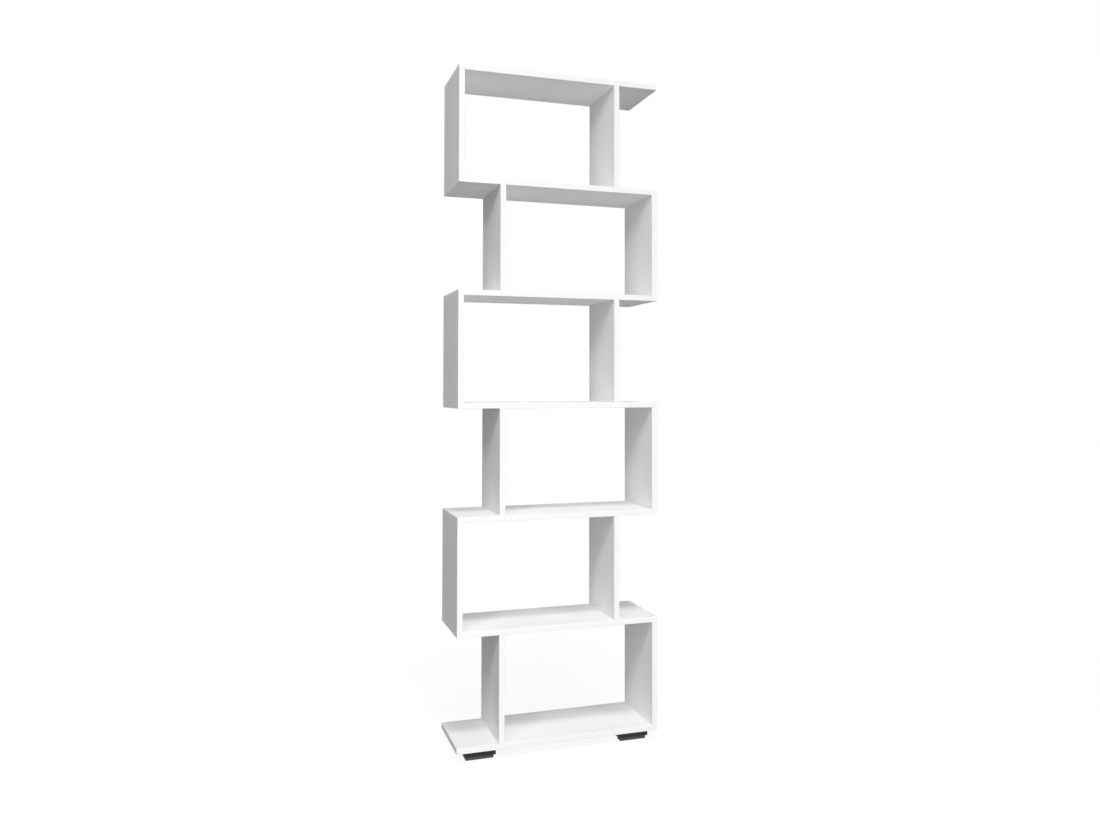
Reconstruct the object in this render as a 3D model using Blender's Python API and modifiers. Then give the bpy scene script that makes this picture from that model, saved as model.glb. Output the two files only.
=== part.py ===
# Room divider bookcase: full-width shelves held apart by pairs of uprights.
# The pair steps to the right on odd tiers and to the left on even ones, so no upright
# stands over another and every joint can be screwed straight through its shelf.
#
# Frame: metres, +Z up, the front faces -Y. The origin is on the floor, under the middle
# of the bookcase. A joint has a frame of its own: its origin is on the outer face of the
# shelf, over the middle of the upright's end, and its -Z runs down into the upright.

import math

import bmesh
import bpy
from mathutils import Matrix

# Panels
SHELF_LENGTH = 0.600
PANEL_DEPTH = 0.240
PANEL_THICKNESS = 0.016
BAY_HEIGHT = 0.304
SIDE_STEP = 0.120
TIER_COUNT = 6
EDGE_EASE = 0.0005

# Screw through each joint, with its head sunk in the shelf
SCREW_LENGTH = 0.050
SCREW_HEAD_DIAMETER = 0.010
SCREW_HEAD_RIM = 0.0010
SCREW_HEAD_CONE = 0.0025
SCREW_HEAD_SINK = 0.0005
SCREW_SHANK_DIAMETER = 0.007
SCREW_CORE_DIAMETER = 0.005
SCREW_TIP = 0.003
SOCKET_WIDTH = 0.004
SOCKET_DEPTH = 0.003

# Dowels glued in the upright's ends, in front of the screw and behind it
DOWEL_DIAMETER = 0.008
DOWEL_LENGTH = 0.030
DOWEL_CHAMFER = 0.001
DOWEL_EDGE_DISTANCE = 0.037
DOWEL_COVER = 0.004

# Moulded foot: a housing with a smaller sole under it
FOOT_LENGTH = 0.091
FOOT_DEPTH = 0.036
FOOT_HEIGHT = 0.028
SOLE_HEIGHT = 0.010
SOLE_STEP = 0.0055
FOOT_WALL = 0.0025
SOLE_FLOOR = 0.003
FOOT_CORNER = 0.001
SOLE_ROUND = 0.0008
FOOT_DRAFT = math.radians(1.0)
FOOT_RIB = 0.002
FOOT_RIB_DROP = 0.001
FOOT_CROSS_RIBS = 3
FOOT_END_INSET = 0.0245
FOOT_FACE_INSET = 0.017

# Wood screws that hold a foot, driven up through its bosses
FOOT_SCREW_SPACING = 0.056
FOOT_SCREW_CORE = 0.003
FOOT_SCREW_HEAD_DIAMETER = 0.008
FOOT_SCREW_HEAD_HEIGHT = 0.0022
FOOT_SCREW_TIP = 0.003
FOOT_SCREW_COVER = 0.004
FOOT_FLANGE = 0.004
BOSS_WALL = 0.0018
DRIVER_CLEARANCE = 0.001

# Clearances
SEAT_GAP = 0.0003
FIT_CLEARANCE = 0.0003
END_CLEARANCE = 0.002

# Working values
CUT_MARGIN = 0.001
MERGE_DISTANCE = 0.00001
PEG_FACETS = 8
BOSS_FACETS = 12
CORNER_SEGMENTS = 3
SOLE_SEGMENTS = 2
SMOOTH_ANGLE = math.radians(40.0)

UPRIGHT_HEIGHT = BAY_HEIGHT - 2 * SEAT_GAP
DOWEL_REACH = PANEL_THICKNESS - DOWEL_COVER - END_CLEARANCE
FOOT_SCREW_BITE = PANEL_THICKNESS - FOOT_SCREW_COVER - END_CLEARANCE
FOOT_BODY_HEIGHT = FOOT_HEIGHT - SEAT_GAP
UPSIDE_DOWN = Matrix.Rotation(math.pi, 4, "X")


def clear_scene():
    for obj in list(bpy.data.objects):
        bpy.data.objects.remove(obj, do_unlink=True)


def new_collection(name):
    collection = bpy.data.collections.new(name)
    bpy.context.scene.collection.children.link(collection)
    return collection


def new_material(name, color, roughness, metallic=0.0):
    material = bpy.data.materials.new(name)
    material.use_nodes = True
    shader = material.node_tree.nodes["Principled BSDF"]
    shader.inputs["Base Color"].default_value = (*color, 1.0)
    shader.inputs["Roughness"].default_value = roughness
    shader.inputs["Metallic"].default_value = metallic
    return material


def shift(x=0.0, y=0.0, z=0.0):
    return Matrix.Translation((x, y, z))


# Mesh tools

def mesh_from(bm, name):
    mesh = bpy.data.meshes.new(name)
    bm.to_mesh(mesh)
    bm.free()
    return mesh


def baked(obj):
    """The object's mesh with its modifiers applied. The object itself is removed."""
    depsgraph = bpy.context.evaluated_depsgraph_get()
    mesh = bpy.data.meshes.new_from_object(obj.evaluated_get(depsgraph))
    mesh.name = obj.name
    bpy.data.objects.remove(obj, do_unlink=True)
    return mesh


def box(length, depth, low, high, draft=0.0):
    """A box centred in x and y. Its top is length by depth, and draft narrows it downwards."""
    bm = bmesh.new()
    bmesh.ops.create_cube(bm, size=1.0)
    narrowing = 2 * (high - low) * math.tan(draft)
    for vert in bm.verts:
        inward = narrowing if vert.co.z < 0 else 0.0
        vert.co.x *= length - inward
        vert.co.y *= depth - inward
        vert.co.z = high if vert.co.z > 0 else low
    return bm


def bevel(bm, edges, width, segments=1):
    bmesh.ops.bevel(bm, geom=edges, offset=width, offset_type="OFFSET", profile=0.5,
                    segments=segments, affect="EDGES")


def rising_edges(bm):
    middle = sum(vert.co.z for vert in bm.verts) / len(bm.verts)
    return [e for e in bm.edges if (e.verts[0].co.z > middle) != (e.verts[1].co.z > middle)]


def bottom_edges(bm):
    low = min(vert.co.z for vert in bm.verts) + MERGE_DISTANCE
    return [e for e in bm.edges if all(vert.co.z < low for vert in e.verts)]


def turned(name, profile, facets):
    """A solid of revolution about Z from (radius, z) points, listed from top to bottom."""
    bm = bmesh.new()
    verts = [bm.verts.new((radius, 0.0, z)) for radius, z in profile]
    for upper, lower in zip(verts, verts[1:]):
        bm.edges.new((upper, lower))
    obj = bpy.data.objects.new(name, mesh_from(bm, name))
    bpy.context.scene.collection.objects.link(obj)
    screw = obj.modifiers.new("turn", "SCREW")
    screw.axis = "Z"
    screw.angle = math.tau
    screw.steps = screw.render_steps = facets
    screw.use_merge_vertices = True
    screw.merge_threshold = MERGE_DISTANCE
    return baked(obj)


def gathered(name, copies):
    """One mesh with a copy of each mesh at its matrix, from (mesh, matrix) pairs."""
    bm = bmesh.new()
    for mesh, matrix in copies:
        first = len(bm.verts)
        bm.from_mesh(mesh)
        bm.verts.ensure_lookup_table()
        bmesh.ops.transform(bm, matrix=matrix, verts=bm.verts[first:])
    return mesh_from(bm, name)


def combined(name, mesh, steps, cutters):
    """The mesh after Boolean steps, given as pairs of an operation and the mesh it takes."""
    obj = bpy.data.objects.new(name, mesh)
    bpy.context.scene.collection.objects.link(obj)
    for operation, tool_mesh in steps:
        tool = bpy.data.objects.new(tool_mesh.name, tool_mesh)
        tool.hide_render = True
        tool.display_type = "WIRE"
        cutters.objects.link(tool)
        boolean = obj.modifiers.new(tool_mesh.name, "BOOLEAN")
        boolean.operation = operation
        boolean.solver = "EXACT"
        boolean.object = tool
    return baked(obj)


def finished(mesh, material):
    mesh.shade_smooth()
    mesh.set_sharp_from_angle(angle=SMOOTH_ANGLE)
    mesh.materials.clear()
    mesh.materials.append(material)
    return mesh


class Assembly:
    """The collection of the finished pieces, and the empty that carries them."""

    def __init__(self, name):
        self.collection = new_collection(name)
        self.carrier = bpy.data.objects.new(name, None)
        self.collection.objects.link(self.carrier)

    def add(self, name, mesh, matrix):
        obj = bpy.data.objects.new(name, mesh)
        obj.parent = self.carrier
        obj.matrix_basis = matrix
        self.collection.objects.link(obj)


# Where the joints are

def upright_centres(tier):
    """The x of the middle of the tier's left and right uprights."""
    reach = (SHELF_LENGTH - PANEL_THICKNESS) / 2
    if tier % 2:
        return {"left": SIDE_STEP - reach, "right": reach}
    return {"left": -reach, "right": reach - SIDE_STEP}


def shelf_middle(level):
    """The height of the middle of a shelf, from level 0 at the bottom."""
    return FOOT_HEIGHT + PANEL_THICKNESS / 2 + level * (BAY_HEIGHT + PANEL_THICKNESS)


def joint_below(x):
    """The frame, on a shelf, of its joint with an upright under it."""
    return shift(x, z=PANEL_THICKNESS / 2)


def joint_above(x):
    """The frame, on a shelf, of its joint with an upright that stands on it."""
    return shift(x, z=-PANEL_THICKNESS / 2) @ UPSIDE_DOWN


def dowel_rows():
    row = PANEL_DEPTH / 2 - DOWEL_EDGE_DISTANCE
    return [-row, row]


# The joint's pieces and holes

def joint_screw(cutters):
    """Countersunk connector screw with a hexagon socket, in the joint's frame."""
    head_top = -SCREW_HEAD_SINK
    seat_top = head_top - SCREW_HEAD_RIM
    end = head_top - SCREW_LENGTH
    shank_end = (SCREW_SHANK_DIAMETER - SCREW_CORE_DIAMETER) / 2 - PANEL_THICKNESS
    body = turned("joint_screw", [
        (0.0, head_top),
        (SCREW_HEAD_DIAMETER / 2, head_top),
        (SCREW_HEAD_DIAMETER / 2, seat_top),
        (SCREW_SHANK_DIAMETER / 2, seat_top - SCREW_HEAD_CONE),
        (SCREW_SHANK_DIAMETER / 2, shank_end),
        (SCREW_CORE_DIAMETER / 2, -PANEL_THICKNESS),
        (SCREW_CORE_DIAMETER / 2, end + SCREW_TIP),
        (0.0, end),
    ], PEG_FACETS)
    socket = bmesh.new()
    across_corners = SOCKET_WIDTH / math.cos(math.pi / 6)
    bmesh.ops.create_cone(socket, cap_ends=True, segments=6, radius1=across_corners / 2,
                          radius2=across_corners / 2, depth=2 * SOCKET_DEPTH,
                          matrix=shift(z=head_top))
    return combined("joint_screw", body,
                    [("DIFFERENCE", mesh_from(socket, "joint_screw_socket"))], cutters)


def shelf_screw_hole():
    """Clearance hole through the shelf, with a seat for the screw's head."""
    head = SCREW_HEAD_DIAMETER / 2 + FIT_CLEARANCE
    shank = SCREW_SHANK_DIAMETER / 2 + FIT_CLEARANCE
    seat_top = -SCREW_HEAD_SINK - SCREW_HEAD_RIM
    far_side = -PANEL_THICKNESS - CUT_MARGIN
    return turned("shelf_screw_hole", [
        (0.0, CUT_MARGIN), (head, CUT_MARGIN), (head, seat_top),
        (shank, seat_top - SCREW_HEAD_CONE), (shank, far_side), (0.0, far_side),
    ], PEG_FACETS)


def upright_pilot_hole():
    """Pilot hole for the screw, down from the upright's end face."""
    radius = SCREW_CORE_DIAMETER / 2 + FIT_CLEARANCE
    bottom = PANEL_THICKNESS + SEAT_GAP - SCREW_HEAD_SINK - SCREW_LENGTH - END_CLEARANCE
    return turned("upright_pilot_hole", [
        (0.0, CUT_MARGIN), (radius, CUT_MARGIN), (radius, bottom), (0.0, bottom),
    ], PEG_FACETS)


def dowel():
    """Chamfered dowel that stands out of the upright's end face by its reach."""
    radius = DOWEL_DIAMETER / 2
    top = SEAT_GAP + DOWEL_REACH
    return turned("dowel", [
        (0.0, top), (radius - DOWEL_CHAMFER, top), (radius, top - DOWEL_CHAMFER),
        (radius, top - DOWEL_LENGTH), (0.0, top - DOWEL_LENGTH),
    ], PEG_FACETS)


def shelf_dowel_hole():
    """Blind hole in the shelf, up from the face that meets the upright's end."""
    radius = DOWEL_DIAMETER / 2 + FIT_CLEARANCE
    depth = DOWEL_REACH + END_CLEARANCE
    return turned("shelf_dowel_hole", [
        (0.0, depth), (radius, depth), (radius, -CUT_MARGIN), (0.0, -CUT_MARGIN),
    ], PEG_FACETS)


# Panels

def upright(cutters):
    """Upright with a pilot hole and two glued dowels in each end, about its middle."""
    blank = box(PANEL_THICKNESS, PANEL_DEPTH, -UPRIGHT_HEIGHT / 2, UPRIGHT_HEIGHT / 2)
    bevel(blank, rising_edges(blank), EDGE_EASE)
    ends = [shift(z=UPRIGHT_HEIGHT / 2), shift(z=-UPRIGHT_HEIGHT / 2) @ UPSIDE_DOWN]
    pilot, peg = upright_pilot_hole(), dowel()
    pilots = gathered("upright_pilot_holes", [(pilot, end) for end in ends])
    dowels = gathered("upright_dowels", [(peg, end @ shift(y=row)) for end in ends
                                         for row in dowel_rows()])
    return combined("upright", mesh_from(blank, "upright"),
                    [("DIFFERENCE", pilots), ("UNION", dowels)], cutters)


def shelf(name, joints, foot_holes, cutters):
    """Shelf about its middle, drilled for its joints and for the screws of its feet."""
    blank = box(SHELF_LENGTH, PANEL_DEPTH, -PANEL_THICKNESS / 2, PANEL_THICKNESS / 2)
    bevel(blank, blank.edges[:], EDGE_EASE)
    screw_hole, dowel_hole = shelf_screw_hole(), shelf_dowel_hole()
    holes = list(foot_holes)
    for joint in joints:
        holes.append((screw_hole, joint))
        holes += [(dowel_hole, joint @ shift(y=row, z=-PANEL_THICKNESS)) for row in dowel_rows()]
    return combined(name, mesh_from(blank, name),
                    [("DIFFERENCE", gathered(name + "_holes", holes))], cutters)


# The foot, in a frame with its origin on the floor under its middle

def foot_screw():
    """Pan head wood screw that points up, with its origin on the flange that it clamps."""
    head = FOOT_SCREW_HEAD_DIAMETER / 2
    core = FOOT_SCREW_CORE / 2
    tip = FOOT_FLANGE + SEAT_GAP + FOOT_SCREW_BITE
    return turned("foot_screw", [
        (0.0, tip), (core, tip - FOOT_SCREW_TIP), (core, -SEAT_GAP), (head, -SEAT_GAP),
        (head, -SEAT_GAP - FOOT_SCREW_HEAD_HEIGHT / 2),
        (head - FOOT_SCREW_HEAD_HEIGHT / 2, -SEAT_GAP - FOOT_SCREW_HEAD_HEIGHT),
        (0.0, -SEAT_GAP - FOOT_SCREW_HEAD_HEIGHT),
    ], PEG_FACETS)


def foot_screw_pilot_hole():
    """Blind hole up from the underside of the bottom shelf."""
    radius = FOOT_SCREW_CORE / 2 + FIT_CLEARANCE
    depth = FOOT_SCREW_BITE + END_CLEARANCE
    return turned("foot_screw_pilot_hole", [
        (0.0, depth), (radius, depth), (radius, -CUT_MARGIN), (0.0, -CUT_MARGIN),
    ], PEG_FACETS)


def foot_screw_bore():
    """Bore up through a boss: wide for head and driver, narrow through the flange."""
    wide = FOOT_SCREW_HEAD_DIAMETER / 2 + DRIVER_CLEARANCE
    narrow = FOOT_SCREW_CORE / 2 + FIT_CLEARANCE
    seat = FOOT_BODY_HEIGHT - FOOT_FLANGE
    top = FOOT_BODY_HEIGHT + CUT_MARGIN
    return turned("foot_screw_bore", [
        (0.0, top), (narrow, top), (narrow, seat), (wide, seat),
        (wide, -CUT_MARGIN), (0.0, -CUT_MARGIN),
    ], BOSS_FACETS)


def foot_boss():
    radius = FOOT_SCREW_HEAD_DIAMETER / 2 + DRIVER_CLEARANCE + BOSS_WALL
    top = FOOT_BODY_HEIGHT + 2 * CUT_MARGIN
    return turned("foot_boss", [(0.0, top), (radius, top), (radius, 0.0), (0.0, 0.0)], BOSS_FACETS)


def foot_screw_places():
    return [shift(x) for x in (-FOOT_SCREW_SPACING / 2, FOOT_SCREW_SPACING / 2)]


def foot_core(sole_length, sole_depth, cutters):
    """The hollow inside the foot, as the mould's core fills it, with slots for the ribs."""
    ledge = SOLE_HEIGHT + FOOT_WALL
    top = FOOT_BODY_HEIGHT + CUT_MARGIN
    hollow = box(FOOT_LENGTH - 2 * FOOT_WALL, FOOT_DEPTH - 2 * FOOT_WALL, ledge, top, FOOT_DRAFT)
    well = box(sole_length - 2 * FOOT_WALL, sole_depth - 2 * FOOT_WALL, SOLE_FLOOR,
               ledge + CUT_MARGIN, FOOT_DRAFT)
    rib_top = FOOT_BODY_HEIGHT - FOOT_RIB_DROP
    long_rib = box(FOOT_LENGTH, FOOT_RIB, 0.0, rib_top)
    cross_rib = mesh_from(box(FOOT_RIB, FOOT_DEPTH, 0.0, rib_top), "foot_cross_rib")
    spacing = FOOT_SCREW_SPACING / (FOOT_CROSS_RIBS - 1)
    cross_ribs = [(cross_rib, shift(index * spacing - FOOT_SCREW_SPACING / 2))
                  for index in range(FOOT_CROSS_RIBS)]
    boss = foot_boss()
    bosses = [(boss, spot) for spot in foot_screw_places()]
    return combined("foot_core", mesh_from(hollow, "foot_core"), [
        ("UNION", mesh_from(well, "foot_core_well")),
        ("DIFFERENCE", mesh_from(long_rib, "foot_long_rib")),
        ("DIFFERENCE", gathered("foot_cross_ribs", cross_ribs)),
        ("DIFFERENCE", gathered("foot_bosses", bosses)),
    ], cutters)


def foot(cutters):
    """Foot moulding: housing and stepped sole, hollow from above, with ribs and two bosses."""
    sole_length = FOOT_LENGTH - 2 * SOLE_STEP
    sole_depth = FOOT_DEPTH - 2 * SOLE_STEP
    housing = box(FOOT_LENGTH, FOOT_DEPTH, SOLE_HEIGHT, FOOT_BODY_HEIGHT, FOOT_DRAFT)
    bevel(housing, rising_edges(housing), FOOT_CORNER, CORNER_SEGMENTS)
    sole = box(sole_length, sole_depth, 0.0, SOLE_HEIGHT + FOOT_WALL, FOOT_DRAFT)
    bevel(sole, rising_edges(sole), FOOT_CORNER, CORNER_SEGMENTS)
    bevel(sole, bottom_edges(sole), SOLE_ROUND, SOLE_SEGMENTS)
    bore = foot_screw_bore()
    bores = gathered("foot_screw_bores", [(bore, spot) for spot in foot_screw_places()])
    return combined("foot", mesh_from(housing, "foot"), [
        ("UNION", mesh_from(sole, "foot_sole")),
        ("DIFFERENCE", foot_core(sole_length, sole_depth, cutters)),
        ("DIFFERENCE", bores),
    ], cutters)


def foot_places():
    """Each foot's name and the point on the floor under its middle."""
    x = SHELF_LENGTH / 2 - FOOT_END_INSET - FOOT_LENGTH / 2
    y = PANEL_DEPTH / 2 - FOOT_FACE_INSET - FOOT_DEPTH / 2
    return {
        "front_left": (-x, -y), "front_right": (x, -y),
        "rear_left": (-x, y), "rear_right": (x, y),
    }


# Assembly

def add_shelves(bookcase, material, cutters):
    pilot = foot_screw_pilot_hole()
    underside = shift(z=-PANEL_THICKNESS / 2)
    foot_holes = [(pilot, underside @ shift(x, y) @ spot) for x, y in foot_places().values()
                  for spot in foot_screw_places()]
    odd = upright_centres(1).values()
    even = upright_centres(2).values()
    last = upright_centres(TIER_COUNT).values()
    bottom = shelf("bottom_shelf", [joint_above(x) for x in odd], foot_holes, cutters)
    middle = shelf("middle_shelf", [joint_below(x) for x in odd] + [joint_above(x) for x in even],
                   [], cutters)
    top = shelf("top_shelf", [joint_below(x) for x in last], [], cutters)
    for mesh in (bottom, middle, top):
        finished(mesh, material)
    bookcase.add("bottom_shelf", bottom, shift(z=shelf_middle(0)))
    for level in range(1, TIER_COUNT):
        turn = Matrix() if level % 2 else UPSIDE_DOWN
        bookcase.add(f"shelf_{level}", middle, shift(z=shelf_middle(level)) @ turn)
    bookcase.add("top_shelf", top, shift(z=shelf_middle(TIER_COUNT)))


def add_uprights(bookcase, material, steel, cutters):
    upright_mesh = finished(upright(cutters), material)
    screw_mesh = finished(joint_screw(cutters), steel)
    for tier in range(1, TIER_COUNT + 1):
        foot_level, head_level = shelf_middle(tier - 1), shelf_middle(tier)
        for side, x in upright_centres(tier).items():
            name = f"tier_{tier}_{side}"
            bookcase.add(f"{name}_upright", upright_mesh, shift(x, z=(foot_level + head_level) / 2))
            bookcase.add(f"{name}_lower_screw", screw_mesh, shift(z=foot_level) @ joint_above(x))
            bookcase.add(f"{name}_upper_screw", screw_mesh, shift(z=head_level) @ joint_below(x))


def add_feet(bookcase, material, steel, cutters):
    foot_mesh = finished(foot(cutters), material)
    screw_mesh = finished(foot_screw(), steel)
    flange = shift(z=FOOT_BODY_HEIGHT - FOOT_FLANGE)
    for name, (x, y) in foot_places().items():
        bookcase.add(f"{name}_foot", foot_mesh, shift(x, y))
        for number, spot in enumerate(foot_screw_places(), start=1):
            bookcase.add(f"{name}_foot_screw_{number}", screw_mesh, shift(x, y) @ spot @ flange)


def main():
    clear_scene()
    bookcase = Assembly("room_divider_bookcase")
    cutters = new_collection("cutters")
    melamine = new_material("white_melamine", (0.86, 0.86, 0.86), 0.42)
    plastic = new_material("black_plastic", (0.03, 0.031, 0.033), 0.45)
    steel = new_material("zinc_plated_steel", (0.72, 0.73, 0.75), 0.32, metallic=1.0)
    add_shelves(bookcase, melamine, cutters)
    add_uprights(bookcase, melamine, steel, cutters)
    add_feet(bookcase, plastic, steel, cutters)


main()
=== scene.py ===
# Looks of the room divider bookcase: melamine boards with edge bands, screws, caps,
# dowels and moulded feet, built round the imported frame.
import math

import bmesh
import bpy
from mathutils import Matrix, Vector


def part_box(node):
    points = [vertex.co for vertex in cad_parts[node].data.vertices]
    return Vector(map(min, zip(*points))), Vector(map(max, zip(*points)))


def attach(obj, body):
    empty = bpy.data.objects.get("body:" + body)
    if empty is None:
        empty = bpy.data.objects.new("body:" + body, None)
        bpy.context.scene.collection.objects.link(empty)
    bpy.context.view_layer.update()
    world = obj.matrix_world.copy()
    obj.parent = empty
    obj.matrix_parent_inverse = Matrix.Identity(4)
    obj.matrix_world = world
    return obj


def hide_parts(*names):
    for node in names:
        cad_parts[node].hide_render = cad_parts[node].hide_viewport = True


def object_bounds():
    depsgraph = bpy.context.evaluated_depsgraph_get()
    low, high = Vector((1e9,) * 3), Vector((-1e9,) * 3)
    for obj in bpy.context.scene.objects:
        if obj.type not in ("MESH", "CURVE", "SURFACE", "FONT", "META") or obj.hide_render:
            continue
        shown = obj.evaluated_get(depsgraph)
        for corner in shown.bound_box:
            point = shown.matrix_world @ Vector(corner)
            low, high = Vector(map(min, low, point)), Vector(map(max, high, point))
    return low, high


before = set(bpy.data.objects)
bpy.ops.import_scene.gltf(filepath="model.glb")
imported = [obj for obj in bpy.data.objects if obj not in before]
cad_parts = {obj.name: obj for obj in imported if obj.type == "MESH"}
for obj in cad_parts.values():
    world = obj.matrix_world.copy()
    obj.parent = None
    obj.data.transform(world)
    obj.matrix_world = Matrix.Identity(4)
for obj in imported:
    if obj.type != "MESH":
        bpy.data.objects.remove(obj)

cadLow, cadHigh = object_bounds()
print("stage: frame loaded with", len(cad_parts), "nodes")


# Node trees

class Wire:  # an output socket that takes part in sums; each sum adds a Math node
    def __init__(self, graph, socket):
        self.graph = graph
        self.socket = socket

    def maths(self, operation, first, second):
        return self.graph.node("ShaderNodeMath", {"operation": operation}, {0: first, 1: second})

    def __add__(self, other):
        return self.maths("ADD", self, other)

    def __radd__(self, other):
        return self.maths("ADD", other, self)

    def __sub__(self, other):
        return self.maths("SUBTRACT", self, other)

    def __rsub__(self, other):
        return self.maths("SUBTRACT", other, self)

    def __mul__(self, other):
        return self.maths("MULTIPLY", self, other)

    def __rmul__(self, other):
        return self.maths("MULTIPLY", other, self)

    def __truediv__(self, other):
        return self.maths("DIVIDE", self, other)

    def __rtruediv__(self, other):
        return self.maths("DIVIDE", other, self)

    def __mod__(self, other):
        return self.maths("MODULO", self, other)

    def __gt__(self, other):
        return self.maths("GREATER_THAN", self, other)

    def least(self, other):
        return self.maths("MINIMUM", self, other)

    def most(self, other):
        return self.maths("MAXIMUM", self, other)


class Graph:  # a node tree under construction
    def __init__(self, tree):
        self.tree = tree

    def node(self, kind, settings=None, sockets=None, output=0):
        made = self.tree.nodes.new(kind)
        for name, value in (settings or {}).items():
            if name == "stops":
                self.setStops(made.color_ramp, value)
            else:
                setattr(made, name, value)
        for name, value in (sockets or {}).items():
            self.feed(made.inputs[name], value)
        return Wire(self, made.outputs[output]) if made.outputs else None

    def feed(self, socket, value):
        if isinstance(value, Wire):
            self.tree.links.new(value.socket, socket)
        elif isinstance(value, list):  # several links into one socket
            for wire in value:
                self.tree.links.new(wire.socket, socket)
        else:
            socket.default_value = value

    def setStops(self, ramp, stops):
        while len(ramp.elements) < len(stops):
            ramp.elements.new(0.5)
        for element, (position, colour) in zip(ramp.elements, stops):
            element.position = position
            element.color = (*colour, 1.0)


class Finish(Graph):  # a material
    def __init__(self, name):
        self.material = bpy.data.materials.new(name)
        self.material.use_nodes = True
        super().__init__(self.material.node_tree)
        self.tree.nodes.clear()
        self.place = self.node("ShaderNodeTexCoord", output="Object")

    def stretched(self, scale, vector=None):
        place = vector or self.place
        return self.node("ShaderNodeMapping", None, {"Vector": place, "Scale": scale})

    def noise(self, scale, detail, roughness, vector=None):
        return self.node("ShaderNodeTexNoise", None, {
            "Vector": vector or self.place,
            "Scale": scale,
            "Detail": detail,
            "Roughness": roughness,
        })

    def mixed(self, first, second, share):  # two values, with this share of the second
        return first * (1 - share) + second * share

    def between(self, factor, first, second):  # a colour between two colours
        return self.node("ShaderNodeMix", {"data_type": "RGBA"}, {
            0: factor,
            6: (*first, 1.0),
            7: (*second, 1.0),
        }, output=2)

    def ranged(self, factor, limits):  # a value between two limits
        low, high = limits
        return low + factor * (high - low)

    def bump(self, pattern, relief):  # relief: how strong, and how high in metres
        strength, height = relief
        return self.node("ShaderNodeBump", None, {
            "Strength": strength,
            "Distance": height,
            "Height": pattern,
        })

    def close(self, sockets):
        return self.closeShader(self.node("ShaderNodeBsdfPrincipled", None, sockets))

    def closeShader(self, shader):
        self.node("ShaderNodeOutputMaterial", None, {"Surface": shader})
        return self.material


threadForm = {
    "foot": 0.22,  # half the ridge's width at its root and at its crest, in pitches
    "crest": 0.03,
    "root": 0.12,  # how far it sinks into the core, in core radii
    "leadIn": 0.05,  # the ridge's least size, where it starts and ends
}


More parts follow.
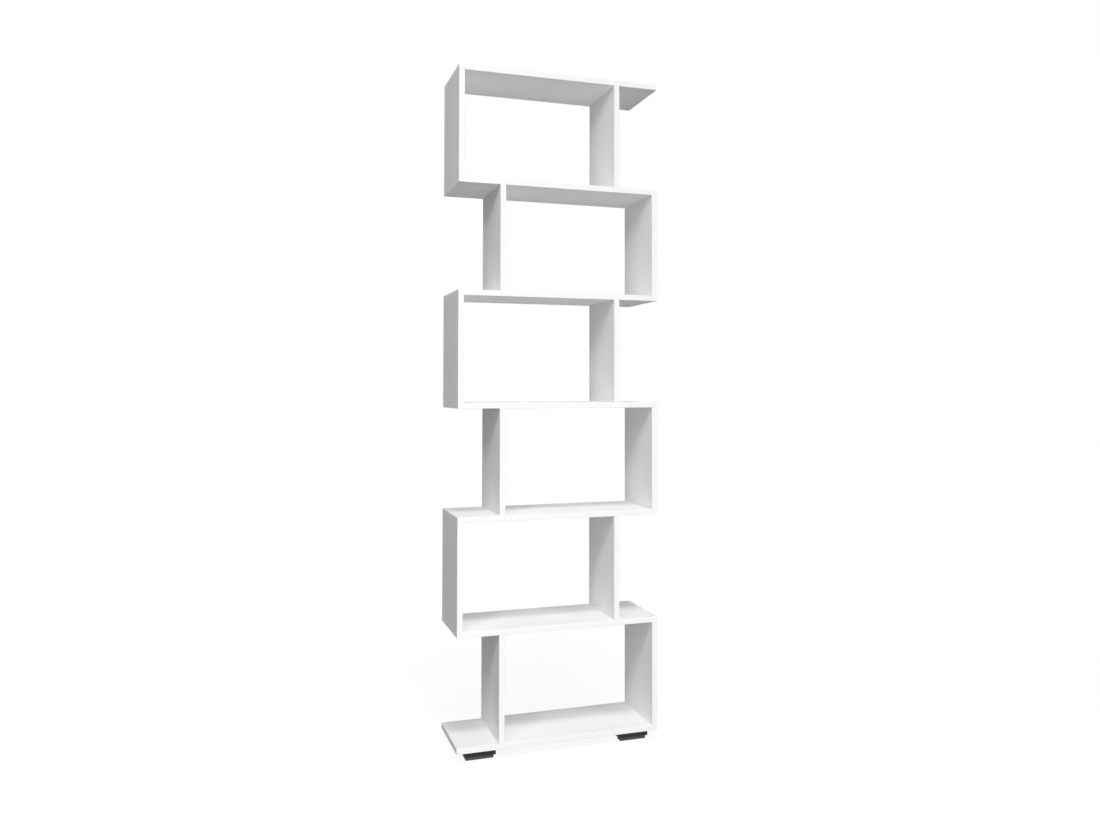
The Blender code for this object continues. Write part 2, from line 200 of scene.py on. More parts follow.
class Tool(Graph):  # a Geometry Nodes tree with named inputs
    def __init__(self, name, inputs):
        super().__init__(bpy.data.node_groups.new(name, "GeometryNodeTree"))
        face = self.tree.interface
        face.new_socket("Geometry", in_out="INPUT", socket_type="NodeSocketGeometry")
        face.new_socket("Geometry", in_out="OUTPUT", socket_type="NodeSocketGeometry")
        self.identifiers = {}
        for label, default in inputs.items():
            kind = "NodeSocketInt" if isinstance(default, int) else "NodeSocketFloat"
            made = face.new_socket(label, in_out="INPUT", socket_type=kind)
            made.default_value = default
            self.identifiers[label] = made.identifier
        made = face.new_socket("Finish", in_out="INPUT", socket_type="NodeSocketMaterial")
        self.identifiers["Finish"] = made.identifier
        self.group = self.tree.nodes.new("NodeGroupInput")

    def value(self, label):
        return Wire(self, self.group.outputs[label])

    def vector(self, x=0.0, y=0.0, z=0.0):
        return self.node("ShaderNodeCombineXYZ", None, {"X": x, "Y": y, "Z": z})

    def index(self):
        return self.node("GeometryNodeInputIndex")

    def chosen(self, values):  # a different value for each point, by its index
        made = self.tree.nodes.new("GeometryNodeIndexSwitch")
        made.data_type = "FLOAT"
        while len(made.index_switch_items) < len(values):
            made.index_switch_items.new()
        self.feed(made.inputs[0], self.index())
        for place, value in enumerate(values, start=1):
            self.feed(made.inputs[place], value)
        return Wire(self, made.outputs[0])

    def turned(self, stations, profile):  # a body along Z, from (height, radius) stations
        points = self.node("GeometryNodePoints", None, {
            "Count": len(stations),
            "Position": self.vector(z=self.chosen([height for height, radius in stations])),
        })
        path = self.node("GeometryNodePointsToCurves", None, {"Points": points})
        return self.node("GeometryNodeCurveToMesh", None, {
            "Curve": path,
            "Profile Curve": profile,
            "Scale": self.chosen([radius for height, radius in stations]),
            "Fill Caps": True,
        })

    def circle(self, facets):
        return self.node("GeometryNodeCurvePrimitiveCircle", None,
                         {"Resolution": facets, "Radius": 1.0})

    def hexagon(self, width, depth, height):  # a six-sided bar across flats, centred at a height
        bar = self.node("GeometryNodeMeshCylinder", None, {
            "Vertices": 6,
            "Radius": width / (2 * math.cos(math.pi / 6)),
            "Depth": depth,
        })
        return self.moved(bar, self.vector(z=height))

    def moved(self, geometry, vector):
        return self.node("GeometryNodeTransform", None,
                         {"Geometry": geometry, "Translation": vector})

    def joined(self, pieces):
        return self.node("GeometryNodeJoinGeometry", None, {"Geometry": pieces})

    def cut(self, body, cutters):
        return self.node("GeometryNodeMeshBoolean", {"operation": "DIFFERENCE", "solver": "EXACT"},
                         {"Mesh 1": body, "Mesh 2": cutters})

    def thread(self, core, outer, pitch, low, high, steps):  # a ridge wound up from low to high
        turns = (high - low) / pitch
        path = self.node("GeometryNodeCurveSpiral", None, {
            "Resolution": steps,
            "Rotations": turns,
            "Start Radius": core,
            "End Radius": core,
            "Height": high - low,
            "Reverse": True,  # right-handed
        })
        upright = self.node("GeometryNodeSetCurveNormal", {"mode": "Z_UP"}, {"Curve": path})
        foot = pitch * threadForm["foot"]
        crest = pitch * threadForm["crest"]
        root = core * -threadForm["root"]
        depth = outer - core
        profile = self.node("GeometryNodeCurvePrimitiveQuadrilateral", {"mode": "POINTS"}, {
            "Point 1": self.vector(depth, crest),
            "Point 2": self.vector(root, foot),
            "Point 3": self.vector(root, foot * -1),
            "Point 4": self.vector(depth, crest * -1),
        })
        along = self.node("GeometryNodeSplineParameter")
        leadIn = (along * turns).least((1 - along) * turns).least(1.0).most(threadForm["leadIn"])
        ridge = self.node("GeometryNodeCurveToMesh", None, {
            "Curve": upright,
            "Profile Curve": profile,
            "Scale": leadIn,
            "Fill Caps": True,
        })
        return self.moved(ridge, self.vector(z=low))

    def placed(self, piece):  # a copy at each point, turned as the point says and spun at random
        turn = self.node("GeometryNodeInputNamedAttribute", {"data_type": "FLOAT_VECTOR"},
                         {"Name": "turn"})
        copies = self.node("GeometryNodeInstanceOnPoints", None, {
            "Points": self.value("Geometry"),
            "Instance": piece,
            "Rotation": self.node("FunctionNodeEulerToRotation", None, {"Euler": turn}),
        })
        spin = self.node("FunctionNodeRandomValue", None, {
            2: 0.0,
            3: math.tau,
            "Seed": self.value("Seed"),
        }, output=1)
        return self.node("GeometryNodeRotateInstances", None, {
            "Instances": copies,
            "Rotation": self.node("FunctionNodeAxisAngleToRotation", None, {"Angle": spin}),
            "Local Space": True,
        })

    def close(self, geometry):
        real = self.node("GeometryNodeRealizeInstances", None, {"Geometry": geometry})
        dressed = self.node("GeometryNodeSetMaterial", None,
                            {"Geometry": real, "Material": self.value("Finish")})
        output = self.tree.nodes.new("NodeGroupOutput")
        self.tree.links.new(dressed.socket, output.inputs["Geometry"])

    def made(self, name, values, points=None):  # the tree's result as a plain mesh
        obj = bpy.data.objects.new(name, points or bpy.data.meshes.new(name))
        bpy.context.scene.collection.objects.link(obj)
        modifier = obj.modifiers.new(name, "NODES")
        modifier.node_group = self.tree
        for label, value in values.items():
            modifier[self.identifiers[label]] = value
        return taken(obj)


# Mesh helpers

def discard(obj):  # the object and a mesh that nothing else uses
    mesh = obj.data
    bpy.data.objects.remove(obj, do_unlink=True)
    if not mesh.users:
        bpy.data.meshes.remove(mesh)


def taken(obj):  # the object's mesh with its modifiers applied; the object goes
    name = obj.name
    depsgraph = bpy.context.evaluated_depsgraph_get()
    mesh = bpy.data.meshes.new_from_object(obj.evaluated_get(depsgraph))
    discard(obj)
    mesh.name = name
    return mesh


def meshFrom(bm, name):
    mesh = bpy.data.meshes.new(name)
    bm.to_mesh(mesh)
    bm.free()
    return mesh


def looseObject(data, name=None):  # a mesh, a lamp or a camera put in the scene
    obj = bpy.data.objects.new(name or data.name, data)
    bpy.context.scene.collection.objects.link(obj)
    return obj


def shift(x=0.0, y=0.0, z=0.0):
    return Matrix.Translation((x, y, z))


def turn(degrees, axis):
    return Matrix.Rotation(math.radians(degrees), 4, axis)


def gathered(name, copies):  # one mesh from (mesh, matrix) pairs
    bm = bmesh.new()
    for mesh, matrix in copies:
        first = len(bm.verts)
        bm.from_mesh(mesh)
        bm.verts.ensure_lookup_table()
        bmesh.ops.transform(bm, matrix=matrix, verts=bm.verts[first:])
    joined = meshFrom(bm, name)
    for material in copies[0][0].materials:
        joined.materials.append(material)
    return joined


def combined(name, mesh, steps):  # the mesh after Boolean steps of (operation, other mesh)
    obj = looseObject(mesh, name)
    tools = []
    for operation, other in steps:
        tools.append(looseObject(other))
        boolean = obj.modifiers.new(other.name, "BOOLEAN")
        boolean.operation = operation
        boolean.solver = "EXACT"
        boolean.object = tools[-1]
    result = taken(obj)
    for tool in tools:
        discard(tool)
    return result


def smoothed(mesh, angle, width=0.0, segments=1):  # eased edges, and flat faces kept flat
    obj = looseObject(mesh)
    if width:
        bevel = obj.modifiers.new("ease", "BEVEL")
        bevel.width = width
        bevel.segments = segments
        bevel.limit_method = "ANGLE"
        bevel.angle_limit = math.radians(angle)
    mesh.shade_smooth()
    mesh.set_sharp_from_angle(angle=math.radians(angle))
    flat = obj.modifiers.new("flat faces", "WEIGHTED_NORMAL")
    flat.keep_sharp = True
    return taken(obj)


def lathe(name, profile, facets):  # a closed turned mesh from (radius, height), top to bottom
    bm = bmesh.new()
    rings = []
    for radius, height in profile:
        if radius == 0.0:
            rings.append([bm.verts.new((0.0, 0.0, height))])
            continue
        angles = [math.tau * step / facets for step in range(facets)]
        rings.append([bm.verts.new((radius * math.cos(angle), radius * math.sin(angle), height))
                      for angle in angles])
    for upper, lower in zip(rings, rings[1:]):
        for step in range(facets):
            corners = [upper[step % len(upper)], lower[step % len(lower)],
                       lower[(step + 1) % len(lower)], upper[(step + 1) % len(upper)]]
            bm.faces.new(dict.fromkeys(corners))
    for face in bm.faces:
        face.material_index = 1  # a hole cut with it shows the second material
    return meshFrom(bm, name)


def makePiece(mesh, name, materials, replaces=()):
    indices = [min(polygon.material_index, len(materials) - 1) for polygon in mesh.polygons]
    mesh.materials.clear()
    for material in materials:
        mesh.materials.append(material)
    mesh.polygons.foreach_set("material_index", indices)
    mesh.name = name
    obj = looseObject(mesh, name)
    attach(obj, "root")
    if replaces:
        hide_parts(*replaces)


# Finishes. A noise has its scale, detail and roughness; a relief its strength and height.

melamineLook = {
    "palest": (0.905, 0.905, 0.905),
    "darkest": (0.885, 0.885, 0.885),
    "clouds": (14.0, 4.0, 0.55),
    "flecks": (900.0, 2.0, 0.6),
    "fleckTone": 0.4,  # the flecks' share in the colour and in the roughness
    "fleckShine": 0.7,
    "pearls": (2600.0, 1.0, 0.5),
    "relief": (0.35, 0.00002),
    "roughness": (0.56, 0.66),
    "gloss": 0.10,
}


def whiteMelamine():
    look = melamineLook
    finish = Finish("whiteMelamine")
    clouds = finish.noise(*look["clouds"])
    flecks = finish.noise(*look["flecks"])
    tone = finish.mixed(clouds, flecks, look["fleckTone"])
    shine = finish.mixed(clouds, flecks, look["fleckShine"])
    return finish.close({
        "Base Color": finish.between(tone, look["darkest"], look["palest"]),
        "Roughness": finish.ranged(shine, look["roughness"]),
        "Specular IOR Level": look["gloss"],
        "Normal": finish.bump(finish.noise(*look["pearls"]), look["relief"]),
    })


bandLook = {
    "palest": (0.912, 0.912, 0.912),
    "darkest": (0.888, 0.888, 0.888),
    "streakScale": (6.0, 900.0, 900.0),  # along the band and across it
    "streaks": (1.0, 3.0, 0.6),
    "rippleScale": (260.0, 12.0, 12.0),
    "ripple": (1.0, 1.0, 0.5),
    "rippleShare": 0.5,
    "relief": (0.4, 0.000012),
    "roughness": (0.50, 0.60),
    "gloss": 0.12,
}


def edgeBandPlastic():
    look = bandLook
    finish = Finish("edgeBandPlastic")
    run = finish.node("ShaderNodeAttribute", {"attribute_name": "bandRun"}, output="Vector")
    streaks = finish.noise(*look["streaks"], finish.stretched(look["streakScale"], run))
    ripple = finish.noise(*look["ripple"], finish.stretched(look["rippleScale"], run))
    return finish.close({
        "Base Color": finish.between(streaks, look["darkest"], look["palest"]),
        "Roughness": finish.ranged(streaks, look["roughness"]),
        "Specular IOR Level": look["gloss"],
        "Normal": finish.bump(finish.mixed(streaks, ripple, look["rippleShare"]), look["relief"]),
    })


chipLook = {
    "chipScale": 520.0,
    "chipStretch": (1.0, 1.0, 2.2),
    "colours": [
        (0.0, (0.20, 0.12, 0.06)),
        (0.35, (0.42, 0.29, 0.17)),
        (0.7, (0.56, 0.42, 0.27)),
        (1.0, (0.68, 0.55, 0.39)),
    ],
    "dust": (1560.0, 3.0, 0.6),
    "dustShare": 0.4,
    "relief": (0.6, 0.0002),
    "roughness": (0.82, 0.96),
}


def rawChipboard():
    look = chipLook
    finish = Finish("rawChipboard")
    chips = finish.node("ShaderNodeTexVoronoi", None, {
        "Vector": finish.stretched(look["chipStretch"]),
        "Scale": look["chipScale"],
    }, output="Color")
    tone = finish.node("ShaderNodeSeparateColor", None, {"Color": chips})
    colour = finish.node("ShaderNodeValToRGB", {"stops": look["colours"]}, {"Fac": tone})
    dust = finish.noise(*look["dust"])
    return finish.close({
        "Base Color": colour,
        "Roughness": finish.ranged(dust, look["roughness"]),
        "Normal": finish.bump(finish.mixed(tone, dust, look["dustShare"]), look["relief"]),
    })


capLook = {
    "palest": (0.90, 0.90, 0.895),
    "darkest": (0.875, 0.875, 0.87),
    "flow": (420.0, 3.0, 0.5),
    "grain": (3780.0, 1.0, 0.5),
    "relief": (0.3, 0.000015),
    "roughness": (0.28, 0.40),
}


def capPlastic():
    look = capLook
    finish = Finish("capPlastic")
    flow = finish.noise(*look["flow"])
    return finish.close({
        "Base Color": finish.between(flow, look["darkest"], look["palest"]),
        "Roughness": finish.ranged(flow, look["roughness"]),
        "Normal": finish.bump(finish.noise(*look["grain"]), look["relief"]),
    })


footLook = {
    "housing": ((0.032, 0.033, 0.036), (0.040, 0.042, 0.045)),  # darkest and palest
    # the sole is the housing's plastic made paler: painted light for the light its front catches
    # near the floor
    "sole": ((0.098, 0.100, 0.104), (0.115, 0.118, 0.123)),
    "flow": (60.0, 3.0, 0.5),
    "sparks": (3600.0, 3.0, 0.7),
    "sparkTone": 0.5,  # the sparks' share in the colour
    "relief": (0.5, 0.00006),
    "roughness": (0.42, 0.58),
    "gloss": 0.20,
}


def mouldedPlastic(name, darkest, palest):
    look = footLook
    finish = Finish(name)
    flow = finish.noise(*look["flow"])
    sparks = finish.noise(*look["sparks"])
    tone = finish.mixed(flow, sparks, look["sparkTone"])
    return finish.close({
        "Base Color": finish.between(tone, darkest, palest),
        "Roughness": finish.ranged(sparks, look["roughness"]),
        "Specular IOR Level": look["gloss"],
        "Normal": finish.bump(sparks, look["relief"]),
    })


steelLook = {
    "colours": [
        (0.0, (0.62, 0.64, 0.66)),
        (0.5, (0.72, 0.73, 0.74)),
        (1.0, (0.76, 0.75, 0.71)),
    ],
    "bloom": (225.0, 3.0, 0.55),
    "crystals": (2700.0, 2.0, 0.6),
    "relief": (0.3, 0.00001),
    "polish": 0.24,  # the least roughness, and what bloom and crystals add to it
    "bloomDulls": 0.10,
    "crystalDulls": 0.08,
}


def zincSteel():
    look = steelLook
    finish = Finish("zincPlatedSteel")
    bloom = finish.noise(*look["bloom"])
    crystals = finish.noise(*look["crystals"])
    colour = finish.node("ShaderNodeValToRGB", {"stops": look["colours"]}, {"Fac": bloom})
    return finish.close({
        "Base Color": colour,
        "Metallic": 1.0,
        "Roughness": look["polish"] + bloom * look["bloomDulls"] + crystals * look["crystalDulls"],
        "Normal": finish.bump(crystals, look["relief"]),
    })


beechLook = {
    "palest": (0.66, 0.47, 0.30),
    "darkest": (0.50, 0.32, 0.18),
    "grain": (1400.0, 1400.0, 60.0),  # across the dowel and along it
    "fibres": (1.0, 4.0, 0.6),
    "relief": (0.4, 0.00004),
    "roughness": (0.55, 0.75),
}


def beechWood():
    look = beechLook
    finish = Finish("beechWood")
    fibres = finish.noise(*look["fibres"], finish.stretched(look["grain"]))
    return finish.close({
        "Base Color": finish.between(fibres, look["darkest"], look["palest"]),
        "Roughness": finish.ranged(fibres, look["roughness"]),
        "Normal": finish.bump(fibres, look["relief"]),
    })


melamine = whiteMelamine()
bandPlastic = edgeBandPlastic()
chipboard = rawChipboard()
whiteCap = capPlastic()
housingPlastic = mouldedPlastic("housingPlastic", *footLook["housing"])
# a paler copy of the housing's plastic for the sole, as painted light
solePlastic = mouldedPlastic("solePlastic", *footLook["sole"])
steel = zincSteel()
beech = beechWood()
print("stage: finishes made")


# Places, read from the frame

shelfNames = ["bottom_shelf"]
shelfNames += sorted(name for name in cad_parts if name.startswith("shelf_"))
shelfNames += ["top_shelf"]
uprightNames = sorted(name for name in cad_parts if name.endswith("_upright"))
connectorNames = sorted(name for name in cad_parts
                        if name.endswith(("_lower_screw", "_upper_screw")))
footNames = sorted(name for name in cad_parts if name.endswith("_foot"))
footScrewNames = sorted(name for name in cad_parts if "_foot_screw_" in name)

shelfLow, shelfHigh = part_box(shelfNames[0])
boardLength = shelfHigh.x - shelfLow.x
boardDepth = shelfHigh.y - shelfLow.y
boardThickness = shelfHigh.z - shelfLow.z
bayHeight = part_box(shelfNames[1])[0].z - shelfHigh.z


def middleOf(node):
    low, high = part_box(node)
    return (low + high) / 2


# Boards. A board lies flat about its middle, and an upright is stood up afterwards.

boardShape = {
    "edgeBreak": 0.0001,  # leaves a hairline seam beside a band
    "uprightGap": 0.00002,  # between an upright's end and its shelf
    "sharpAngle": 30.0,  # degrees; shallower edges shade smoothly
}

bandShape = {
    "Length": 0.6,
    "Width": 0.016,
    "Thickness": 0.0008,
    "Round": 0.0006,  # the outer long edges
    "Round Steps": 4,
}
bandSharpAngle = 60.0

jointShape = {
    "headHole": 0.0053,  # radii of the stepped hole for a connector screw
    "shankHole": 0.0038,
    "headSeat": 0.0015,  # depths of its cone
    "coneEnd": 0.0040,
    "pilotHole": 0.0026,
    "pilotDepth": 0.0367,
    "dowelHole": 0.0041,
    "dowelHoleDepth": 0.0120,
    "dowelSocketDepth": 0.0206,
    "dowelEdgeDistance": 0.037,
    "footPilotHole": 0.0017,
    "footPilotDepth": 0.0120,
    "facets": 40,
    "overcut": 0.001,
}


def bandTool():
    tool = Tool("edgeBand", bandShape)
    strip = tool.node("GeometryNodeCurvePrimitiveQuadrilateral", None, {
        "Width": tool.value("Thickness"),
        "Height": tool.value("Width"),
    })
    place = tool.node("GeometryNodeInputPosition")
    outer = tool.node("ShaderNodeSeparateXYZ", None, {"Vector": place}) > 0.0
    rounded = tool.node("GeometryNodeFilletCurve", {"mode": "POLY"}, {
        "Curve": strip,
        "Count": tool.value("Round Steps"),
        "Radius": outer * tool.value("Round"),
    })
    path = tool.node("GeometryNodeCurvePrimitiveLine", None, {
        "Start": tool.vector(x=tool.value("Length") * -0.5),
        "End": tool.vector(x=tool.value("Length") * 0.5),
    })
    solid = tool.node("GeometryNodeCurveToMesh", None, {
        "Curve": path,
        "Profile Curve": rounded,
        "Fill Caps": True,
    })
    tool.close(tool.node("GeometryNodeStoreNamedAttribute", {"data_type": "FLOAT_VECTOR"}, {
        "Geometry": solid,
        "Name": "bandRun",
        "Value": place,
    }))
    return tool


bander = bandTool()


def bandStrip(name, length):  # its outer face looks towards -Y
    strip = bander.made(name, {
        **bandShape,
        "Length": length,
        "Width": boardThickness,
        "Finish": bandPlastic,
    })
    return smoothed(strip, bandSharpAngle, width=boardShape["edgeBreak"], segments=2)


def bandsRound(name, length, ends):  # strips on the long edges, and on the ends if asked
    inset = bandShape["Thickness"] / 2
    long = bandStrip(name + "_long", length)
    reach = boardDepth / 2 - inset
    strips = [(long, shift(y=-reach)), (long, shift(y=reach) @ turn(180, "Z"))]
    if ends:
        short = bandStrip(name + "_short", boardDepth - 4 * inset)
        reach = length / 2 - inset
        strips += [(short, shift(x=reach) @ turn(90, "Z")),
                   (short, shift(x=-reach) @ turn(-90, "Z"))]
    return gathered(name, strips)


def boardCore(name, length, ends, holes):
    band = bandShape["Thickness"]
    bm = bmesh.new()
    size = (length - (2 * band if ends else 0.0), boardDepth - 2 * band, boardThickness)
    bmesh.ops.create_cube(bm, size=1.0, matrix=Matrix.Diagonal((*size, 1.0)))
    bmesh.ops.bevel(bm, geom=bm.edges[:], offset=boardShape["edgeBreak"], offset_type="OFFSET",
                    segments=1, profile=0.5, affect="EDGES")
    for face in bm.faces:
        isBroad = abs(face.normal.z) > 0.5
        face.material_index = 0 if isBroad else 1
    core = combined(name, meshFrom(bm, name), [("DIFFERENCE", gathered(name + "_holes", holes))])
    return smoothed(core, boardShape["sharpAngle"])


def screwHole():  # from the shelf's outer face, down through it
    joint = jointShape
    over = joint["overcut"]
    return lathe("screwHole", [
        (0.0, over),
        (joint["headHole"], over),
        (joint["headHole"], -joint["headSeat"]),
        (joint["shankHole"], -joint["coneEnd"]),
        (joint["shankHole"], -boardThickness - over),
        (0.0, -boardThickness - over),
    ], joint["facets"])


def blindHole(name, radius, depth):  # down from z = 0
    over = jointShape["overcut"]
    profile = [(0.0, over), (radius, over), (radius, -depth), (0.0, -depth)]
    return lathe(name, profile, jointShape["facets"])


throughScrew = screwHole()
pilot = blindHole("pilotHole", jointShape["pilotHole"], jointShape["pilotDepth"])
dowelHole = blindHole("dowelHole", jointShape["dowelHole"], jointShape["dowelHoleDepth"])
dowelSocket = blindHole("dowelSocket", jointShape["dowelHole"], jointShape["dowelSocketDepth"])
footPilot = blindHole("footPilotHole", jointShape["footPilotHole"], jointShape["footPilotDepth"])
dowelRow = boardDepth / 2 - jointShape["dowelEdgeDistance"]
dowelRows = [-dowelRow, dowelRow]


def jointHoles(x, above):  # the holes in a shelf for an upright above it or under it
    face = shift(x) @ (turn(180, "X") if above else Matrix())
    outer = face @ shift(z=boardThickness / 2)
    inner = face @ shift(z=-boardThickness / 2) @ turn(180, "X")
    return [(throughScrew, outer)] + [(dowelHole, inner @ shift(y=row)) for row in dowelRows]


def shelfHoles(name):
    holes = []
    level = middleOf(name).z
    for upright in uprightNames:
        spot = middleOf(upright)
        if abs(spot.z - level) < bayHeight:
            holes += jointHoles(spot.x, spot.z > level)
    if name == "bottom_shelf":
        for screw in footScrewNames:
            spot = middleOf(screw)
            holes.append((footPilot, shift(spot.x, spot.y, -boardThickness / 2) @ turn(180, "X")))
    return holes


def makeShelf(name):
    place = shift(z=middleOf(name).z)
    core = boardCore(name + "_board", boardLength, True, shelfHoles(name))
    bands = bandsRound(name + "_edge_bands", boardLength, True)
    core.transform(place)
    bands.transform(place)
    makePiece(core, name + "_board", [melamine, chipboard], [name])
    makePiece(bands, name + "_edge_bands", [bandPlastic])


def uprightPatterns():  # the one pattern that all uprights share
    length = bayHeight - 2 * boardShape["uprightGap"]
    holes = []
    for side in (0, 180):
        end = turn(side, "Z") @ shift(x=length / 2) @ turn(90, "Y")
        holes.append((pilot, end))
        holes += [(dowelSocket, end @ shift(y=row)) for row in dowelRows]
    return boardCore("upright", length, False, holes), bandsRound("uprightBands", length, False)


def makeUpright(name, core, bands):
    spot = middleOf(name)
    place = shift(spot.x, 0.0, spot.z) @ turn(-90, "Y")
    for pattern, ending, materials, stood in (
            (core, "_board", [melamine, chipboard], [name]),
            (bands, "_edge_bands", [bandPlastic], ())):
        mesh = pattern.copy()
        mesh.transform(place)
        makePiece(mesh, name + ending, materials, stood)


for shelfName in shelfNames:
    makeShelf(shelfName)
uprightCore, uprightBands = uprightPatterns()
for uprightName in uprightNames:
    makeUpright(uprightName, uprightCore, uprightBands)
print("stage: boards and bands made")


# Feet

footShape = {
    "soleHeight": 0.010,
    "soleStep": 0.0055,
    "wall": 0.0025,
    "soleFloor": 0.003,
    "corner": 0.001,
    "leastCorner": 0.000125,
    "cornerSteps": 8,
    "soleRound": 0.0008,
    "ledgeRound": 0.0006,
    "rimRound": 0.0003,
    "roundSteps": 4,
    "draft": 1.0,  # degrees
    "rib": 0.002,
    "ribDrop": 0.001,
    "crossRibs": 3,
    "screwSpacing": 0.056,
    "bossRadius": 0.0068,
    "driverBore": 0.0050,
    "screwBore": 0.0018,
    "flange": 0.004,
    "topGap": 0.00002,
    "overcut": 0.001,
    "facets": 48,
    "sharpAngle": 35.0,
}


def roundedOutline(length, depth, corner, steps):
    points = []
    for quarter in range(4):
        sideX = 1 if quarter in (0, 3) else -1
        sideY = 1 if quarter in (0, 1) else -1
        for step in range(steps + 1):
            angle = math.pi / 2 * (quarter + step / steps)
            points.append((sideX * (length / 2 - corner) + corner * math.cos(angle),
                           sideY * (depth / 2 - corner) + corner * math.sin(angle)))
    return points


def mouldedBlock(name, length, depth, low, high, lowRound=0.0, highRound=0.0):
    foot = footShape
    slope = math.tan(math.radians(foot["draft"]))
    stations = []
    count = foot["roundSteps"]
    if lowRound:
        for step in range(count):
            angle = math.pi / 2 * step / count
            stations.append((low + lowRound * (1 - math.cos(angle)),
                             lowRound * (1 - math.sin(angle))))
        stations.append((low + lowRound, 0.0))
    else:
        stations.append((low, 0.0))
    if highRound:
        for step in range(count + 1):
            angle = math.pi / 2 * step / count
            stations.append((high - highRound * (1 - math.sin(angle)),
                             highRound * (1 - math.cos(angle))))
    else:
        stations.append((high, 0.0))
    bm = bmesh.new()
    rings = []
    for height, inset in stations:
        inset += (high - height) * slope
        corner = max(foot["corner"] - inset, foot["leastCorner"])
        outline = roundedOutline(length - 2 * inset, depth - 2 * inset, corner, foot["cornerSteps"])
        rings.append([bm.verts.new((x, y, height)) for x, y in outline])
    for lower, upper in zip(rings, rings[1:]):
        for step in range(len(lower)):
            after = (step + 1) % len(lower)
            bm.faces.new((lower[step], lower[after], upper[after], upper[step]))
    bm.faces.new(list(reversed(rings[0])))
    bm.faces.new(rings[-1])
    return meshFrom(bm, name)


def plainBlock(name, length, depth, low, high):
    bm = bmesh.new()
    size = (length, depth, high - low, 1.0)
    bmesh.ops.create_cube(bm, size=1.0, matrix=shift(z=(low + high) / 2) @ Matrix.Diagonal(size))
    return meshFrom(bm, name)


def footMesh(length, depth, height):  # about the floor point under its middle
    foot = footShape
    over = foot["overcut"]
    ledge = foot["soleHeight"] + foot["wall"]
    soleLength = length - 2 * foot["soleStep"]
    soleDepth = depth - 2 * foot["soleStep"]
    housing = mouldedBlock("housing", length, depth, foot["soleHeight"], height,
                           foot["ledgeRound"], foot["rimRound"])
    sole = mouldedBlock("sole", soleLength, soleDepth, 0.0, ledge, foot["soleRound"])
    hollow = mouldedBlock("hollow", length - 2 * foot["wall"], depth - 2 * foot["wall"],
                          ledge, height + over)
    well = mouldedBlock("well", soleLength - 2 * foot["wall"], soleDepth - 2 * foot["wall"],
                        foot["soleFloor"], ledge + over)
    ribTop = height - foot["ribDrop"]
    longRib = plainBlock("longRib", length, foot["rib"], 0.0, ribTop)
    crossRib = plainBlock("crossRib", foot["rib"], depth, 0.0, ribTop)
    ribStep = foot["screwSpacing"] / (foot["crossRibs"] - 1)
    firstRib = foot["screwSpacing"] / -2
    ribs = [(crossRib, shift(firstRib + index * ribStep)) for index in range(foot["crossRibs"])]
    spots = [shift(firstRib), shift(-firstRib)]
    boss = lathe("boss", [
        (0.0, height + 2 * over),
        (foot["bossRadius"], height + 2 * over),
        (foot["bossRadius"], 0.0),
        (0.0, 0.0),
    ], foot["facets"])
    seat = height - foot["flange"]
    bore = lathe("bore", [
        (0.0, height + over),
        (foot["screwBore"], height + over),
        (foot["screwBore"], seat),
        (foot["driverBore"], seat),
        (foot["driverBore"], -over),
        (0.0, -over),
    ], foot["facets"])
    core = combined("core", hollow, [
        ("UNION", well),
        ("DIFFERENCE", longRib),
        ("DIFFERENCE", gathered("crossRibs", ribs)),
        ("DIFFERENCE", gathered("bosses", [(boss, spot) for spot in spots])),
    ])
    shell = combined("foot", housing, [
        ("UNION", sole),
        ("DIFFERENCE", core),
        ("DIFFERENCE", gathered("bores", [(bore, spot) for spot in spots])),
    ])
    # the sole's faces take the paler plastic, which is painted light
    for polygon in shell.polygons:
        isSole = polygon.center.z < foot["soleHeight"] - foot["topGap"]
        polygon.material_index = 1 if isSole else 0
    return smoothed(shell, foot["sharpAngle"])


def makeFeet():
    low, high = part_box(footNames[0])
    pattern = footMesh(high.x - low.x, high.y - low.y, shelfLow.z - footShape["topGap"])
    for name in footNames:
        spot = middleOf(name)
        mesh = pattern.copy()
        mesh.transform(shift(spot.x, spot.y))
        makePiece(mesh, name + "_moulding", [housingPlastic, solePlastic], [name])


makeFeet()
print("stage: feet made")


# Screws, caps and dowels

def pointsAt(name, places):  # a mesh of points, each with the turn of its copy
    mesh = bpy.data.meshes.new(name)
    mesh.from_pydata([place for place, angles in places], [], [])
    turns = mesh.attributes.new("turn", "FLOAT_VECTOR", "POINT")
    for point, (place, angles) in zip(turns.data, places):
        point.vector = angles
    return mesh


def jointPlaces(depth=0.0):  # on each joint's outer shelf face, with -Z into the upright
    places = []
    for name in connectorNames:
        spot = middleOf(name)
        isLower = "lower" in name
        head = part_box(name)[0 if isLower else 1].z
        shelf = min((middleOf(shelf).z for shelf in shelfNames), key=lambda z: abs(z - head))
        if isLower:
            face = shelf - boardThickness / 2 + depth
            places.append(((spot.x, spot.y, face), (math.pi, 0.0, 0.0)))
        else:
            face = shelf + boardThickness / 2 - depth
            places.append(((spot.x, spot.y, face), (0.0, 0.0, 0.0)))
    return places


fastenerSharpAngle = 35.0

connectorShape = {
    "Head Sink": 0.0005,
    "Head Diameter": 0.010,
    "Head Rim": 0.0010,
    "Head Cone": 0.0025,
    "Shank Diameter": 0.007,
    "Shank End": 0.0150,
    "Core Diameter": 0.005,
    "Thread Diameter": 0.007,
    "Thread Pitch": 0.003,
    "Thread Steps": 20,  # in a turn
    "Length": 0.050,
    "Tip": 0.003,
    "Socket Width": 0.004,
    "Socket Depth": 0.003,
    "Facets": 28,
    "Seed": 3,
}
connectorEase = 0.03  # the rounded edge's share of the head's radius
connectorTip = 0.15  # the blunt end's share of the core's radius


